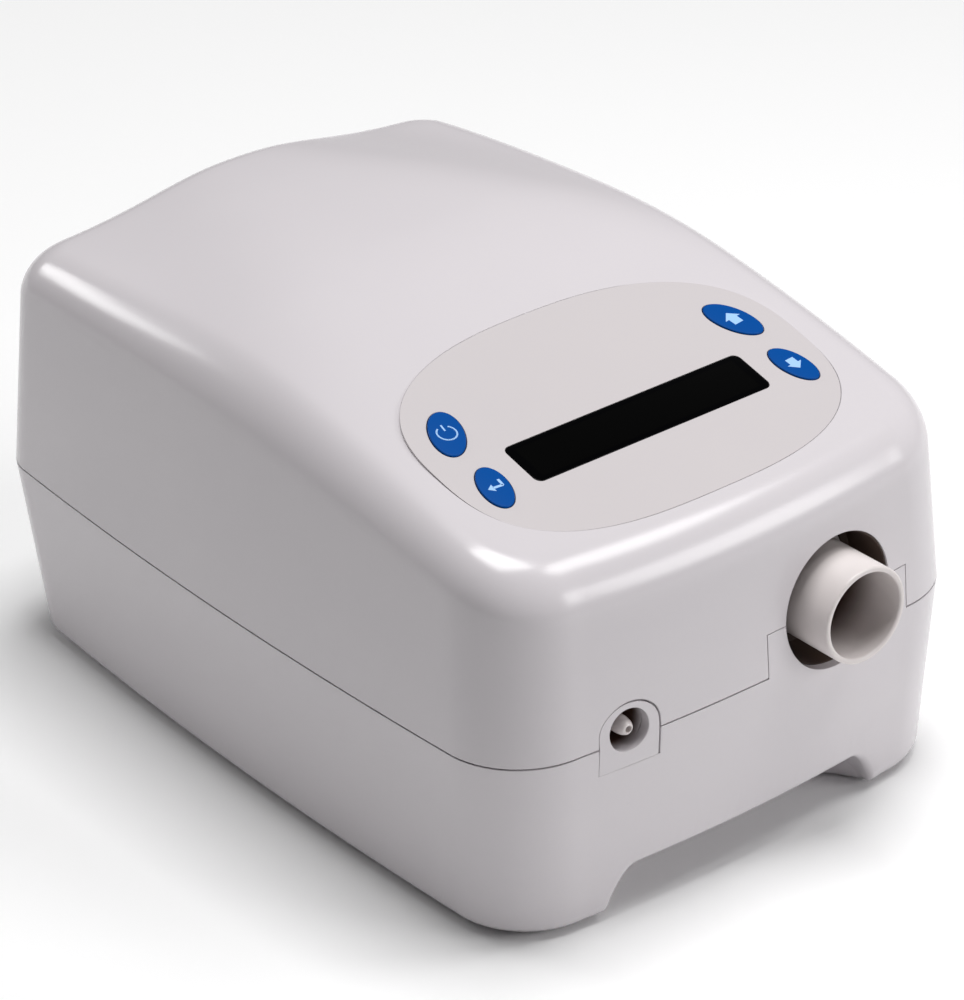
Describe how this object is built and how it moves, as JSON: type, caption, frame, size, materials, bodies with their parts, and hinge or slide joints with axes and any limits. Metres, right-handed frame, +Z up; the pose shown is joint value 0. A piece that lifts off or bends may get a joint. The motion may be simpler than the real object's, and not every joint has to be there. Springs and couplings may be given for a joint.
{
  "type": "cpap machine",
  "caption": "Bedside airway pressure machine: pale two-part housing, sloping key and display panel, tubular air outlet, pressure port and finger arch.",
  "frame": {"origin": "on the surface that the machine stands on, under the centre of its overall box", "axes": "+X to the right seen from the front, -Y out of the front with the air outlet, +Y to the back, +Z up"},
  "size_m": [0.1326, 0.199, 0.1073],
  "materials": {
    "housing": "fine satin moulding",
    "overlay": "printed film, satin",
    "display_glass": "polished",
    "key_blue": "satin",
    "dark_plastic": "satin",
    "plated_steel": "plated",
    "circuit_board": "solder mask",
    "screw_steel": "bright",
    "outlet_plastic": "satin moulding",
    "silicone_dark": "matte",
    "clear_tubing": "satin",
    "inner_plastic": "satin moulding",
    "foam": "open-cell foam",
    "inlet_plastic": "satin moulding",
    "brass_pin": "plain",
    "blower_plastic": "satin moulding",
    "magnet": "sintered",
    "copper_winding": "enamelled",
    "motor_metal": "plated",
    "connector_nylon": "satin",
    "transformer_tape": "tape",
    "capacitor_sleeve": "sleeve",
    "heat_sink_metal": "extruded",
    "ribbon_grey": "satin",
    "lead_red": "satin",
    "lead_blue": "satin",
    "rubber_foot": "matte"
  },
  "bodies": {
    "machine": {"upper_shell": "housing", "lower_shell": "housing", "control_overlay": "overlay", "display_window": "display_glass", "key_switches": "dark_plastic", "display_module": "plated_steel", "key_board": "circuit_board", "key_board_screws": "screw_steel", "outlet_tube": "outlet_plastic", "outlet_boot": "silicone_dark", "port_plate": "housing", "pressure_nipple": "outlet_plastic", "sensing_tube": "clear_tubing", "filter_frame": "inner_plastic", "air_filter": "foam", "power_inlet": "inlet_plastic", "inlet_pins": "brass_pin", "silencer_box": "inner_plastic", "silencer_lid": "inner_plastic", "silencer_foam": "foam", "blower_mounts": "silicone_dark", "inlet_seal": "silicone_dark", "blower_base": "blower_plastic", "blower_cover": "blower_plastic", "blower_screws": "screw_steel", "motor_stator": "copper_winding", "motor_can": "motor_metal", "motor_bearings": "screw_steel", "main_board": "circuit_board", "main_board_chips": "dark_plastic", "board_connectors": "connector_nylon", "pressure_sensor": "dark_plastic", "buzzer": "dark_plastic", "power_board": "circuit_board", "transformer": "transformer_tape", "capacitors": "capacitor_sleeve", "heat_sink": "heat_sink_metal", "board_screws": "screw_steel", "ribbon_cable": "ribbon_grey", "motor_lead": "lead_red", "mains_lead": "lead_blue", "rubber_feet": "rubber_foot", "shell_screws": "screw_steel"},
    "power_key": {"power_button": "key_blue", "power_plunger": "dark_plastic"},
    "enter_key": {"enter_button": "key_blue", "enter_plunger": "dark_plastic"},
    "up_key": {"up_button": "key_blue", "up_plunger": "dark_plastic"},
    "down_key": {"down_button": "key_blue", "down_plunger": "dark_plastic"},
    "rotor": {"impeller": "inner_plastic", "motor_shaft": "screw_steel", "rotor_magnet": "magnet"},
    "intake_cover": {"filter_cover": "housing"}
  },
  "joints": [
    {"name": "power_key_press", "type": "slide", "parent": "machine", "child": "power_key", "axis": [0, 0.2521, -0.9677], "range_m": [0, 0.0005], "stiffness_N_per_m": 900},
    {"name": "enter_key_press", "type": "slide", "parent": "machine", "child": "enter_key", "axis": [0, 0.2521, -0.9677], "range_m": [0, 0.0005], "stiffness_N_per_m": 900},
    {"name": "up_key_press", "type": "slide", "parent": "machine", "child": "up_key", "axis": [0, 0.2521, -0.9677], "range_m": [0, 0.0005], "stiffness_N_per_m": 900},
    {"name": "down_key_press", "type": "slide", "parent": "machine", "child": "down_key", "axis": [0, 0.2521, -0.9677], "range_m": [0, 0.0005], "stiffness_N_per_m": 900},
    {"name": "rotor_spin", "type": "hinge", "parent": "machine", "child": "rotor", "pos_m": [-0.0044, 0.014, 0.0541], "axis": [0, 0, 1], "continuous": true},
    {"name": "intake_cover_pull", "type": "slide", "parent": "machine", "child": "intake_cover", "axis": [0, 0.9928, -0.1201], "range_m": [0, 0.012]}
  ]
}
